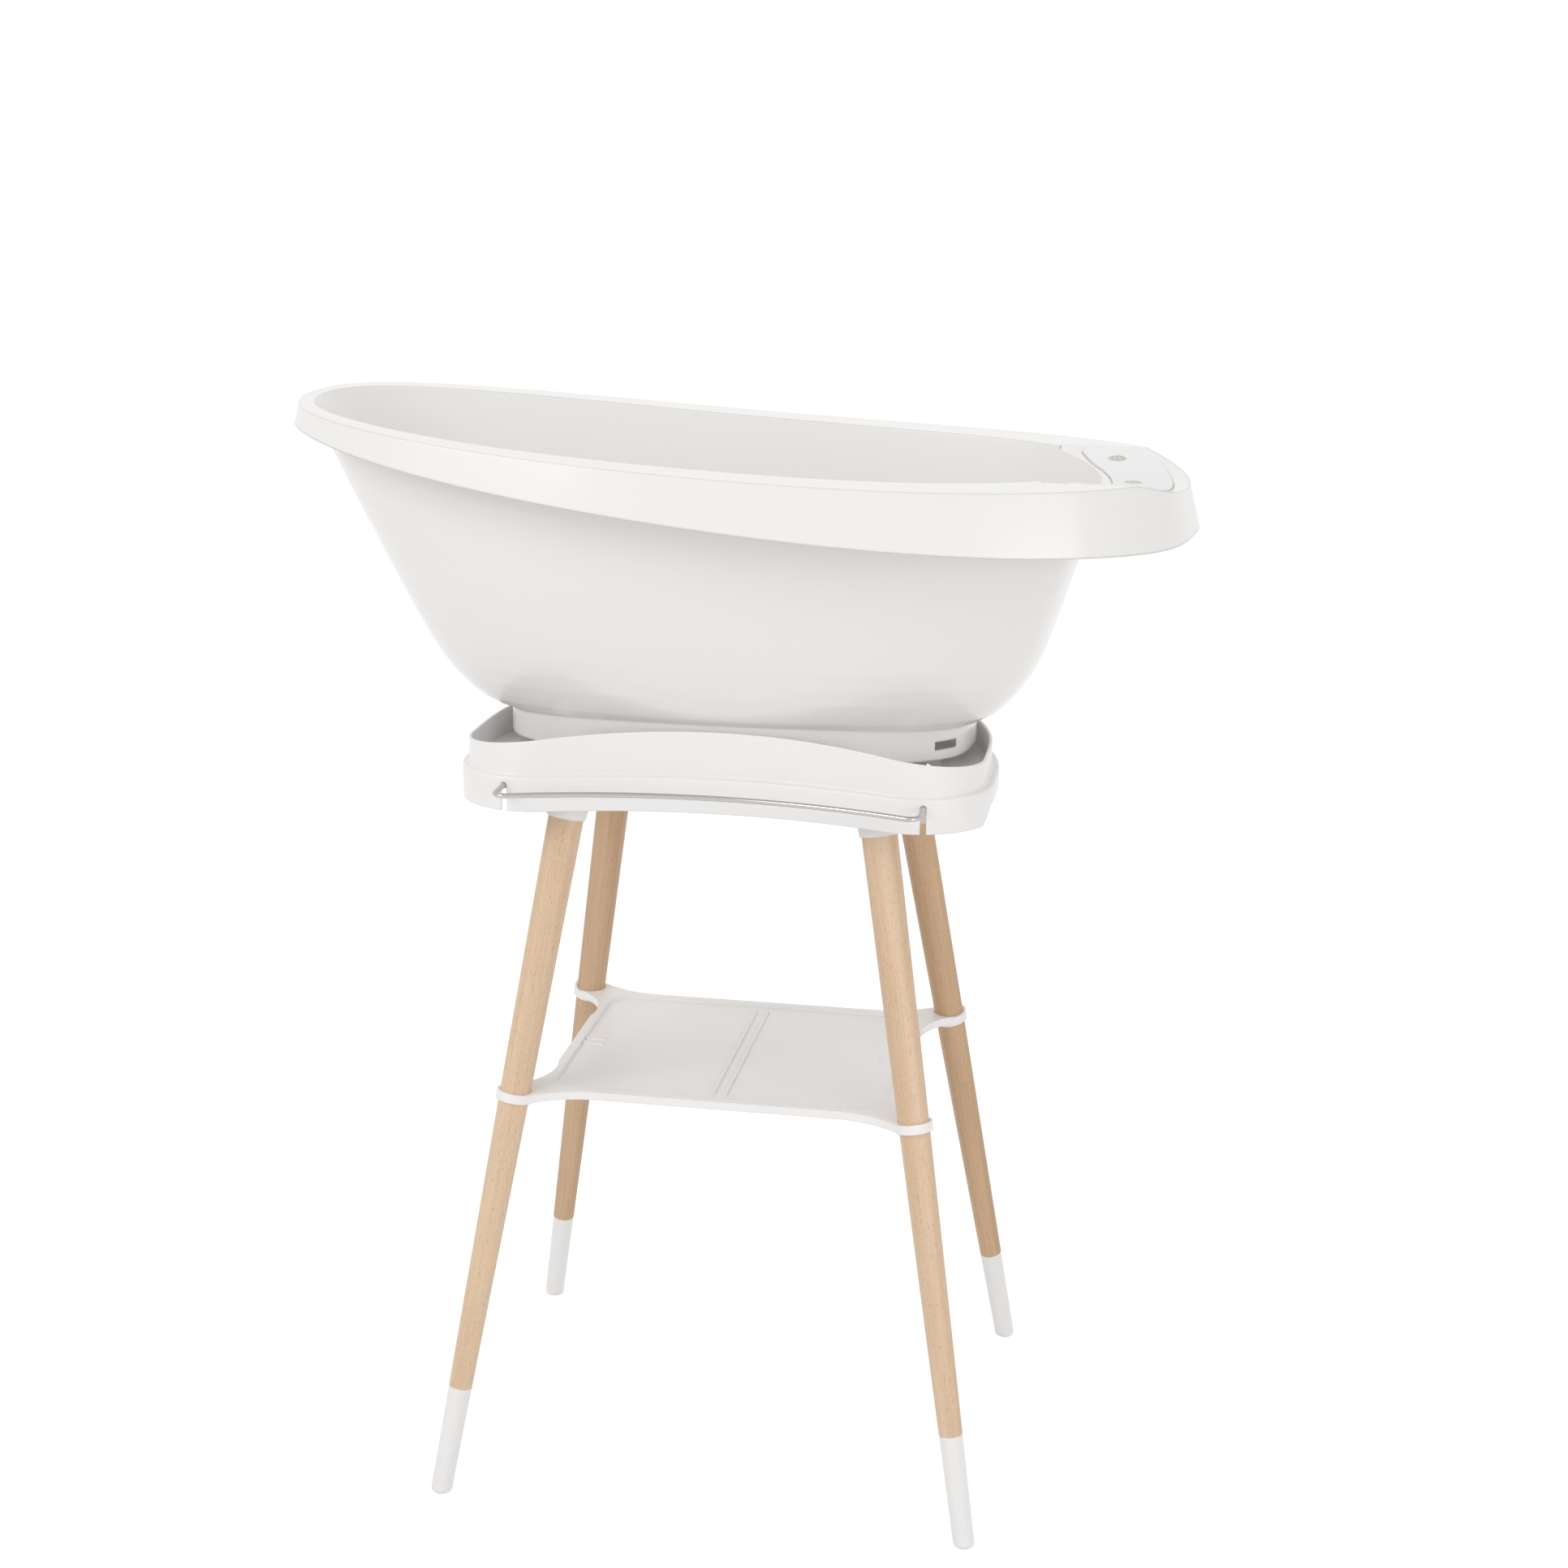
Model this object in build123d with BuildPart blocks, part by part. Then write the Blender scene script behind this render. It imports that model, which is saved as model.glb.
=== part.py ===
from build123d import *
import math
import os

# Baby bathtub on a wooden stand, in millimetres.
# +X points to the foot end of the tub, +Y to the back, +Z up.
# The origin is on the floor, under the middle of the stand.

# Stand
foot_x = 252.3                      # leg axis at the floor, from the middle
foot_y = 207.5
head_x = 121.9                      # the same axis at the height below
head_y = 76.7
head_height = 800.0
foot_radius = 10.0
collar_radius = 14.4                # leg radius where the shelf sits
leg_top_radius = 17.0
foot_cap_length = 107.0
cap_tenon_radius = 6.0
cap_tenon_length = 55.0
cap_edge_round = 4.0
bolt_radius = 4.0
bolt_in_leg = 34.0
insert_radius = 6.5                 # brass insert in the top of the socket
insert_length = 12.0
shelf_height = 388.0
sleeve_height = 651.0               # where the wood disappears into the tray's socket
leg_top_height = 697.0
fit_gap = 0.2                       # between a piece and the hole that it fills
running_gap = 0.4                   # between pieces that move past each other

# Tray
tray_half_width = 240.0
tray_back = 140.0                   # outside face, at the middle of the back
tray_power_share = 2.6              # fullness of the oval of the back
tray_front = 116.0                  # outside face, at the hollow middle of the front
tray_corner_y = 180.0               # where the side and the front would meet unrounded
tray_corner_round = 62.0
tray_side_y = -60.0                 # widest point, where the oval of the back begins
tray_wall = 3.0
tray_bottom = 668.0
belt_height = 700.0                 # the step between the lower and the upper wall
belt_step = 7.0
rim_side_height = 722.0
rim_middle_height = 742.0
seat_height = 714.0                 # the tub's skirt stands on the sockets here
ledge_height = 700.0                # top of the ledge all round the inside
ledge_width = 46.0
deck_height = 672.0                 # top of the lower deck inside the ledge
deck_thickness = 3.0
sleeve_wall = 2.0                   # socket wall where the leg goes in
socket_top_radius = 22.0
socket_round = 7.0
well_half_x = 104.0                 # opening in the middle of the deck
well_half_y = 60.0
well_round = 18.0
window_half = 72.0                  # window in the ledge's wall between two sockets
window_height = 18.0
grip_half_y = 96.0                  # finger hold under each side of the tray
grip_height = 16.0
grip_reach = 68.0                   # how far it reaches in from the wall
tray_rim_round = 1.0
belt_round = 2.5

# Towel rail
wire_radius = 2.4
rail_corner_x = 191.0
rail_corner_y = 188.0
rail_middle_y = 155.0
rail_height = 692.0
rail_bend = 9.0
rail_end_y = 118.0                  # the wire's ends, in clips behind the front wall
clip_width = 13.0
clip_length = 22.0
clip_bottom = 686.0

# Shelf
shelf_half_x = 168.0
shelf_half_y = 133.0
shelf_wall = 2.4
shelf_rim = 8.0                     # height of the shelf's edge
shelf_rim_width = 9.0
shelf_dish = 3.0
shelf_corner_round = 26.0
collar_height = 9.0
collar_wall = 2.6
arm_reach_x = 56.0                  # how far from the corner an arm begins to flare
arm_reach_y = 71.0
arm_sag = 7.0
shelf_rib_width = 3.0
shelf_rib_rise = 1.6
shelf_rib_spacing = 12.0
shelf_rib_half_length = 112.0
shelf_stop_width = 4.0              # short ribs beside each side edge
shelf_stop_length = 22.0
shelf_stop_spacing = 12.0

# Tub, with its own heights counted from the foot of the skirt
tub_length = 830.0
tub_half_width = 232.0
tub_wall = 3.0
tub_height = 310.0
rim_middle_top = 274.0
rim_foot_top = 265.0
apron_head = 293.0
apron_middle = 232.0
apron_foot = 208.0
apron_draft_share = 0.26            # sideways per upward millimetre of the apron
oval_power_share = 2.5
skirt_half_x = 220.0
skirt_half_y = 104.0
skirt_power_share = 2.6
skirt_wall = 3.0
skirt_top = 60.0
skirt_arch_half = 94.0
skirt_arch_rise = 18.0
slot_x = 199.0
slot_width = 17.0
slot_bottom = 9.0
slot_height = 8.0
tub_floor = 22.0                    # underside of the tub's floor

# Control panel in the foot end of the rim
panel_tip_x = 296.0
panel_tip_y = 121.0
panel_corner_x = 374.0
panel_corner_y = 90.0
panel_outer_x = 391.0
panel_lobe_x = 316.0
panel_lobe_y = 74.0
panel_inner_x = 337.0
panel_corner_round = 12.0
panel_tip_round = 9.0
panel_lobe_round = 18.0
dish_depth = 18.0
dish_bottom = 247.0
cover_thickness = 5.0
cover_gap = 0.3                     # between the cover and the recess that it lies in
cover_round = 1.4
cover_side = 2.5
cover_skin = 2.2
housing_inset = 6.0
housing_depth = 28.0
housing_wall = 2.0
housing_floor = 3.0
pad_margin = 4.0                    # thicker skin under the panel, beyond its edge
pad_thickness = 7.0
recess_depth = 3.0
recess_gap = 0.4
opening_gap = 0.6                   # round the housing
valley_start_x = 282.0              # the foot end of the rim dips beyond this
button_radius = 8.0
button_rise = 0.5                   # above the cover at rest
button_round = 0.35
button_travel = 0.8
button_flange = 0.9
button_flange_thickness = 0.8
button_stem_radius = 2.0
wing_button_x = 337.0
wing_button_y = 85.0
middle_button_x = 355.0
board_thickness = 1.6
board_drop = 9.0                    # top of the board, below the bottom of the dish
board_gap = 1.4                     # between the board and the housing's wall
cell_radius = 5.2
cell_length = 44.0
cell_x = 361.0
door_width = 24.0
door_length = 96.0
door_thickness = 1.6
door_ledge = 1.5
seal_thickness = 1.0
screw_radius = 1.5
screw_head_radius = 2.8
screw_head_height = 1.8
screw_length = 24.0
boss_radius = 3.8
screw_places = [(341.0, 57.0), (369.0, 57.0), (341.0, -57.0), (369.0, -57.0)]
light_radius = 1.7
light_rise = 0.2
light_spacing = 5.6
light_x = 365.0
light_y = -41.0

# Sensor plug in the tub's floor
plug_x = 118.0
plug_radius = 42.0
plug_height = 13.0
plug_round = 5.0
plug_tab_reach = 45.0
plug_tab_radius = 17.0
plug_tab_height = 8.0
plug_face_radius = 26.0
plug_face_depth = 2.0
plug_cavity_radius = 23.0
plug_cavity_depth = 7.0
plug_board_radius = 21.0
plug_cell_radius = 10.0
plug_cell_thickness = 3.2
tab_rib_count = 4
tab_rib_width = 1.6
tab_rib_rise = 0.8
tab_rib_spacing = 6.0
drain_radius = 19.0
drain_wall = 3.0
drain_flange = 3.5
drain_flange_thickness = 2.0
drain_length = 13.0
plug_spigot_radius = 17.2
plug_spigot_depth = 7.0
contact_radius = 4.0
contact_spacing = 10.6
contact_slot_half = 18.0
contact_slot_radius = 5.6
contact_slot_depth = 1.0
contact_rise = 0.4                  # above the floor of its slot
seal_radius = 1.5

# Details shared by several pieces
cut_over = 1.0                      # how far a cut runs past what it cuts
oval_points = 16                     # points round an oval section

corners = [("front_left", -1, -1), ("front_right", 1, -1), ("back_left", -1, 1), ("back_right", 1, 1)]

os.makedirs("parts", exist_ok=True)


def save(piece, label):
    piece.label = label
    export_step(piece, "parts/" + label + ".step")


def oval(half_x, half_y, power_share, centre_x=0, count=oval_points):
    # Points of a superellipse, from +X round by +Y
    points = []
    for i in range(count):
        turn = 2 * math.pi * i / count
        c = math.cos(turn)
        s = math.sin(turn)
        points.append((
            centre_x + half_x * math.copysign(abs(c) ** (2 / power_share), c),
            half_y * math.copysign(abs(s) ** (2 / power_share), s),
        ))
    return points


# Legs: each leans inwards along a straight axis
lean = math.sqrt((foot_x - head_x) ** 2 + (foot_y - head_y) ** 2 + head_height ** 2) / head_height


def leg_plane(side_x, side_y, height):
    # Square to the leg's axis, where the axis passes this height
    along = height / head_height
    where = (
        side_x * (foot_x + (head_x - foot_x) * along),
        side_y * (foot_y + (head_y - foot_y) * along),
        height,
    )
    direction = (side_x * (head_x - foot_x), side_y * (head_y - foot_y), head_height)
    return Plane(origin=where, x_dir=(1, 0, 0), z_dir=direction)


def leg_radius(height):
    if height < shelf_height:
        return foot_radius + (collar_radius - foot_radius) * height / shelf_height
    return collar_radius + (leg_top_radius - collar_radius) * (height - shelf_height) / (
        leg_top_height - shelf_height)


cap_top = foot_cap_length / lean
cap_reach = (foot_x - head_x) / head_height * foot_radius * 2

for name, side_x, side_y in corners:
    low = leg_plane(side_x, side_y, cap_top)
    with BuildPart() as leg:
        with BuildSketch(low):
            Circle(leg_radius(cap_top))
        with BuildSketch(leg_plane(side_x, side_y, shelf_height)):
            Circle(leg_radius(shelf_height))
        with BuildSketch(leg_plane(side_x, side_y, leg_top_height)):
            Circle(leg_top_radius)
        loft(ruled=True)
        with BuildSketch(low):
            Circle(cap_tenon_radius)
        extrude(amount=-cap_tenon_length)
        with BuildSketch(leg_plane(side_x, side_y, leg_top_height)):
            Circle(bolt_radius)
        extrude(amount=-bolt_in_leg, mode=Mode.SUBTRACT)
    save(leg.part, "leg_" + name)

    with BuildPart() as cap:
        with BuildSketch(leg_plane(side_x, side_y, -cap_reach)):
            Circle(leg_radius(-cap_reach))
        with BuildSketch(low):
            Circle(leg_radius(cap_top))
        loft(ruled=True)
        with BuildSketch(low):
            Circle(cap_tenon_radius + fit_gap)
        extrude(amount=-(cap_tenon_length + fit_gap), mode=Mode.SUBTRACT)
        split(bisect_by=Plane.XY, keep=Keep.TOP)
        fillet(cap.edges().group_by(Axis.Z)[0], radius=cap_edge_round)
    save(cap.part, "foot_cap_" + name)

# Screws that hold the legs in the tray's sockets, and the threaded inserts that take them
bolts = []
inserts = []
for name, side_x, side_y in corners:
    top = leg_plane(side_x, side_y, leg_top_height)
    with BuildPart() as bolt:
        with BuildSketch(top.offset(insert_length)):
            Circle(bolt_radius)
        extrude(amount=-(bolt_in_leg + insert_length))
    bolts.append(bolt.part)
    with BuildPart() as insert:
        with BuildSketch(top):
            Circle(insert_radius)
            Circle(bolt_radius, mode=Mode.SUBTRACT)
        extrude(amount=insert_length)
    inserts.append(insert.part)
save(Compound(children=bolts), "hanger_bolts")
save(Compound(children=inserts), "threaded_inserts")


# Tray: a rounded bean, hollow at the middle of its front
def tray_outline(outset):
    width = tray_half_width + outset
    corner = (width, -tray_corner_y - outset)
    quarter = oval(width, tray_back - tray_side_y + outset, tray_power_share, count=2 * oval_points)
    with BuildSketch() as outline:
        with BuildLine():
            Spline(
                *[(x, tray_side_y + y) for x, y in quarter[:oval_points // 2 + 1]],
                tangents=[(0, 1), (-1, 0)])
            Line((width, tray_side_y), corner)
            mirror(about=Plane.YZ)
            ThreePointArc((-corner[0], corner[1]), (0, -tray_front - outset), corner)
        make_face()
        fillet(outline.vertices().group_by(Axis.Y)[0], radius=tray_corner_round + outset)
    return outline.sketch


def prism(outline, bottom, top):
    with BuildPart() as block:
        with BuildSketch(Plane.XY.offset(bottom)):
            add(outline)
        extrude(amount=top - bottom)
    return block.part


def under_arc(half_x, half_y, side_height, middle_height, other_height, floor_height):
    # Everything below an arc in the XZ plane, carried across in Y
    with BuildPart() as block:
        with BuildSketch(Plane.XZ.offset(-half_y)):
            with BuildLine():
                edge = ThreePointArc((-half_x, side_height), (0, middle_height), (half_x, other_height))
                Polyline(
                    edge @ 1, (2 * half_x, other_height), (2 * half_x, floor_height),
                    (-2 * half_x, floor_height), (-2 * half_x, side_height), edge @ 0)
            make_face()
        extrude(amount=2 * half_y)
    return block.part


tray_reach = tray_half_width + belt_step + cut_over
under_tray_rim = under_arc(
    tray_reach, tray_reach, rim_side_height, rim_middle_height, rim_side_height, 0)
socket_x = foot_x + (head_x - foot_x) * seat_height / head_height
socket_y = foot_y + (head_y - foot_y) * seat_height / head_height

# Sockets for the legs, closed by a domed top that carries the tub
sockets = []
for name, side_x, side_y in corners:
    with BuildPart() as socket:
        with BuildSketch(leg_plane(side_x, side_y, sleeve_height)):
            Circle(leg_radius(sleeve_height) + sleeve_wall)
        with BuildSketch(leg_plane(side_x, side_y, seat_height + socket_top_radius)):
            Circle(socket_top_radius + sleeve_wall)
        loft(ruled=True)
        split(bisect_by=Plane.XY.offset(seat_height), keep=Keep.BOTTOM)
        fillet(socket.faces().sort_by(Axis.Z)[-1].edges(), radius=socket_round)
    sockets.append(socket.part)

with BuildPart() as tray:
    add(prism(tray_outline(belt_step), tray_bottom, belt_height))
    add(prism(tray_outline(0), belt_height, rim_middle_height + cut_over))
    add(under_tray_rim, mode=Mode.INTERSECT)
    fillet([e for e in tray.edges() if abs(e.center().Z - belt_height) < fit_gap], radius=belt_round)
    add(prism(tray_outline(-tray_wall), ledge_height, rim_middle_height + 2 * cut_over), mode=Mode.SUBTRACT)
    # the lower deck, the space under it, and the space under the ledge
    add(prism(tray_outline(-ledge_width), deck_height, ledge_height + cut_over), mode=Mode.SUBTRACT)
    add(prism(tray_outline(tray_wall - ledge_width), tray_bottom - cut_over, deck_height - deck_thickness),
        mode=Mode.SUBTRACT)
    add(prism(tray_outline(belt_step - tray_wall), tray_bottom - cut_over, ledge_height - deck_thickness)
        - prism(tray_outline(tray_wall - ledge_width), tray_bottom - 2 * cut_over, ledge_height),
        mode=Mode.SUBTRACT)
    fillet(tray.faces().sort_by(Axis.Z)[-1].edges(), radius=tray_rim_round)
    # the well in the middle of the deck
    with BuildSketch(Plane.XY.offset(tray_bottom - cut_over)):
        RectangleRounded(2 * well_half_x, 2 * well_half_y, well_round)
    extrude(amount=deck_height - tray_bottom + 2 * cut_over, mode=Mode.SUBTRACT)
    # windows in the ledge's wall, front and back
    with BuildSketch(Plane.XZ.offset(ledge_width - tray_back - 2 * tray_wall)):
        with BuildLine():
            Polyline(
                (-window_half - window_height, deck_height),
                (-window_half, deck_height + window_height),
                (window_half, deck_height + window_height),
                (window_half + window_height, deck_height),
                close=True)
        make_face()
    extrude(amount=2 * (tray_back + 2 * tray_wall - ledge_width), mode=Mode.SUBTRACT)
    # finger holds under the two sides
    for side in (-1, 1):
        with BuildSketch(Plane.YZ.offset(side * (tray_half_width - grip_reach))):
            with BuildLine():
                Polyline(
                    (-grip_half_y - grip_height, tray_bottom - cut_over),
                    (-grip_half_y, tray_bottom + grip_height),
                    (grip_half_y, tray_bottom + grip_height),
                    (grip_half_y + grip_height, tray_bottom - cut_over),
                    close=True)
            make_face()
        extrude(amount=side * tray_reach, mode=Mode.SUBTRACT)
    # clips that hold the ends of the towel rail
    with BuildSketch(Plane.XY.offset(clip_bottom)):
        with Locations(*[(side * rail_corner_x, -rail_end_y - clip_length / 2) for side in (-1, 1)]):
            Rectangle(clip_width, clip_length)
    extrude(amount=ledge_height - clip_bottom)
    add(sockets)
    for name, side_x, side_y in corners:
        with BuildSketch(leg_plane(side_x, side_y, sleeve_height - cap_tenon_length)):
            Circle(leg_radius(sleeve_height - cap_tenon_length) + fit_gap)
        with BuildSketch(leg_plane(side_x, side_y, leg_top_height)):
            Circle(leg_top_radius + fit_gap)
        loft(ruled=True, mode=Mode.SUBTRACT)
        with BuildSketch(leg_plane(side_x, side_y, leg_top_height)):
            Circle(insert_radius + fit_gap)
        extrude(amount=insert_length + fit_gap, mode=Mode.SUBTRACT)
    # the wire passes through an open notch in the front wall
    for side in (-1, 1):
        with BuildSketch(Plane.XZ.offset(rail_end_y - cut_over)):
            with Locations((side * rail_corner_x, rail_height)):
                Circle(wire_radius + fit_gap)
        extrude(amount=tray_corner_y - rail_end_y + belt_step, mode=Mode.SUBTRACT)
        with BuildSketch(Plane.XZ.offset(rail_end_y + clip_length)):
            with BuildLine():
                Polyline(
                    (side * rail_corner_x - wire_radius - fit_gap, rail_height),
                    (side * rail_corner_x - wire_radius - running_gap, tray_bottom - cut_over),
                    (side * rail_corner_x + wire_radius + running_gap, tray_bottom - cut_over),
                    (side * rail_corner_x + wire_radius + fit_gap, rail_height),
                    close=True)
            make_face()
        extrude(amount=tray_corner_y - rail_end_y, mode=Mode.SUBTRACT)
save(tray.part, "tray")

# Towel rail: one bent wire that follows the hollow of the front
with BuildPart() as rail:
    with BuildLine(Plane.XY.offset(rail_height)):
        left = (-rail_corner_x, -rail_corner_y)
        right = (rail_corner_x, -rail_corner_y)
        front = ThreePointArc(left, (0, -rail_middle_y), right)
        leg_left = Line((-rail_corner_x, -rail_end_y), left)
        leg_right = Line(right, (rail_corner_x, -rail_end_y))
        fillet(vertices().group_by(Axis.Y)[0], radius=rail_bend)
    with BuildSketch(Plane.XZ.offset(rail_end_y)):
        with Locations((-rail_corner_x, rail_height)):
            Circle(wire_radius)
    sweep()
save(rail.part, "towel_rail")

# Shelf: a dished plate whose four arms end in collars round the legs
collar_x = foot_x + (head_x - foot_x) * shelf_height / head_height
collar_y = foot_y + (head_y - foot_y) * shelf_height / head_height
collar_out = collar_radius + fit_gap + collar_wall
shelf_top = shelf_height + shelf_rim / 2
with BuildPart() as shelf:
    with BuildSketch(Plane.XY.offset(shelf_top - shelf_rim)) as plate:
        with BuildLine():
            slant = collar_out * math.sqrt(0.5)
            ends = []
            for side_x, side_y in ((1, 1), (-1, 1), (-1, -1), (1, -1)):
                on_side = (side_x * shelf_half_x, side_y * (shelf_half_y - arm_reach_y))
                side_dip = (side_x * (shelf_half_x + arm_sag), side_y * (shelf_half_y - arm_reach_y / 3))
                low = (side_x * (collar_x + slant), side_y * (collar_y - slant))
                high = (side_x * (collar_x - slant), side_y * (collar_y + slant))
                end_dip = (side_x * (shelf_half_x - arm_reach_x / 3), side_y * (shelf_half_y + arm_sag))
                on_end = (side_x * (shelf_half_x - arm_reach_x), side_y * shelf_half_y)
                ThreePointArc(on_side, side_dip, low)
                Line(low, high)
                ThreePointArc(high, end_dip, on_end)
                ends.append((on_side, on_end))
            Line(ends[0][1], ends[1][1])
            Line(ends[1][0], ends[2][0])
            Line(ends[2][1], ends[3][1])
            Line(ends[3][0], ends[0][0])
        make_face()
    extrude(amount=shelf_rim)
    with BuildSketch(Plane.XY.offset(shelf_top - shelf_dish)):
        RectangleRounded(2 * (shelf_half_x - shelf_rim_width), 2 * (shelf_half_y - shelf_rim_width),
                         shelf_corner_round)
    extrude(amount=shelf_dish, mode=Mode.SUBTRACT)
    with BuildSketch(Plane.XY.offset(shelf_top - shelf_rim)):
        RectangleRounded(2 * (shelf_half_x - shelf_wall), 2 * (shelf_half_y - shelf_wall), shelf_corner_round)
    extrude(amount=shelf_rim - shelf_dish - shelf_wall, mode=Mode.SUBTRACT)
    with BuildSketch(Plane.XY.offset(shelf_top - shelf_dish)):
        with Locations((-shelf_rib_spacing / 2, 0), (shelf_rib_spacing / 2, 0)):
            SlotOverall(2 * shelf_rib_half_length, shelf_rib_width, rotation=90)
        for side in (-1, 1):
            with Locations(*[(side * (shelf_half_x - shelf_rim_width - shelf_stop_length / 2), v)
                             for v in (-shelf_stop_spacing / 2, shelf_stop_spacing / 2)]):
                SlotOverall(shelf_stop_length, shelf_stop_width)
    extrude(amount=shelf_rib_rise)
    for name, side_x, side_y in corners:
        with BuildSketch(leg_plane(side_x, side_y, shelf_height).offset(-collar_height / 2)):
            Circle(collar_out)
        extrude(amount=collar_height)
    for name, side_x, side_y in corners:
        with BuildSketch(leg_plane(side_x, side_y, shelf_height - collar_height)):
            Circle(leg_radius(shelf_height - collar_height) + fit_gap)
        with BuildSketch(leg_plane(side_x, side_y, shelf_height)):
            Circle(leg_radius(shelf_height) + fit_gap)
        with BuildSketch(leg_plane(side_x, side_y, shelf_height + collar_height)):
            Circle(leg_radius(shelf_height + collar_height) + fit_gap)
        loft(ruled=True, mode=Mode.SUBTRACT)
save(shelf.part, "shelf")

# Tub. Its sections are shares of its height, length and half width:
# height, reach towards the head end, reach towards the foot end, half width
body_shares = [
    (tub_floor / tub_height, 0.241, 0.236, 0.379),
    (0.080, 0.268, 0.262, 0.415),
    (0.097, 0.289, 0.280, 0.444),
    (0.120, 0.305, 0.295, 0.469),
    (0.148, 0.318, 0.306, 0.491),
    (0.187, 0.332, 0.318, 0.521),
    (0.232, 0.345, 0.329, 0.550),
    (0.290, 0.358, 0.339, 0.584),
    (0.355, 0.371, 0.347, 0.616),
    (0.430, 0.385, 0.356, 0.648),
    (0.516, 0.401, 0.366, 0.681),
    (0.610, 0.418, 0.377, 0.711),
    (0.710, 0.437, 0.388, 0.737),
    (0.880, 0.467, 0.406, 0.777),
    (1.065, 0.499, 0.424, 0.819),
]
tub_reach = tub_length / 2
tub_base = seat_height


def body(inset, raise_by):
    # The tub's body as one solid, drawn in by a wall
    with BuildPart() as bulk:
        for height, head, foot, half in body_shares:
            head_x_here = -tub_length * head + inset
            foot_x_here = tub_length * foot - inset
            with BuildSketch(Plane.XY.offset(tub_base + tub_height * height + raise_by)):
                with BuildLine():
                    Spline(*oval(
                        (foot_x_here - head_x_here) / 2, tub_half_width * half - inset, oval_power_share,
                        (foot_x_here + head_x_here) / 2), periodic=True)
                make_face()
        loft(ruled=True)
    return bulk.part


def flared_oval(inset):
    # The rim's outside, wider at its foot than at its top
    low = tub_base + apron_foot
    high = tub_base + tub_height + cut_over
    with BuildPart() as bulk:
        for level in (low - cut_over, high):
            head = -tub_reach - (tub_base + apron_head - level) * apron_draft_share + inset
            foot = tub_reach - (level - low) * apron_draft_share - inset
            half = tub_half_width - (level - tub_base - apron_middle) * apron_draft_share - inset
            with BuildSketch(Plane.XY.offset(level)):
                with BuildLine():
                    Spline(*oval((foot - head) / 2, half, oval_power_share, (foot + head) / 2), periodic=True)
                make_face()
        loft(ruled=True)
    return bulk.part


dish_radius = (panel_tip_y ** 2 + dish_depth ** 2) / (2 * dish_depth)
dish_axis = tub_base + dish_bottom + dish_radius


def dish(drop, start_x):
    # The round trough across the foot end, lowered by drop
    with BuildPart() as trough:
        with BuildSketch(Plane.YZ.offset(start_x)):
            with Locations((0, dish_axis)):
                Circle(dish_radius + drop)
        extrude(amount=tub_length - start_x)
    return trough.part


def under_tub_rim(drop):
    return under_arc(
        tub_reach, tub_reach, tub_base + tub_height - drop, tub_base + rim_middle_top - drop,
        tub_base + rim_foot_top - drop, tub_base)


under_apron = under_arc(
    tub_reach, tub_reach, tub_base + apron_head, tub_base + apron_middle, tub_base + apron_foot, tub_base)


def panel_outline(outset):
    with BuildSketch() as outline:
        with BuildLine():
            outer = ThreePointArc(
                (panel_corner_x, -panel_corner_y), (panel_outer_x, 0), (panel_corner_x, panel_corner_y))
            inner = ThreePointArc(
                (panel_lobe_x, -panel_lobe_y), (panel_inner_x, 0), (panel_lobe_x, panel_lobe_y))
            Polyline(outer @ 1, (panel_tip_x, panel_tip_y), inner @ 1)
            Polyline(outer @ 0, (panel_tip_x, -panel_tip_y), inner @ 0)
        make_face()
        fillet(outline.vertices().group_by(Axis.X)[-1], radius=panel_corner_round)
        fillet(outline.vertices().group_by(Axis.X)[0], radius=panel_tip_round)
        lobes = [v for v in outline.vertices() if abs(v.X - panel_lobe_x) < cut_over]
        fillet(lobes, radius=panel_lobe_round)
        if outset:
            offset(amount=outset)
    return outline.sketch


def panel_band(outset, low_drop, high_drop):
    # A curved plate with the panel's outline, between two depths below the dish
    return (prism(panel_outline(outset), panel_low, panel_high) & dish(low_drop, valley_start_x)) - dish(
        high_drop, valley_start_x)


panel_low = tub_base + dish_bottom - housing_depth
panel_high = tub_base + rim_middle_top + dish_depth

with BuildPart() as rim:
    add(flared_oval(0))
    add(under_tub_rim(0), mode=Mode.INTERSECT)
    add(dish(0, valley_start_x), mode=Mode.SUBTRACT)
    add(under_apron, mode=Mode.SUBTRACT)

with BuildPart() as rim_inside:
    add(flared_oval(tub_wall))
    add(under_tub_rim(tub_wall), mode=Mode.INTERSECT)
    add(dish(tub_wall, valley_start_x), mode=Mode.SUBTRACT)

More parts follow.
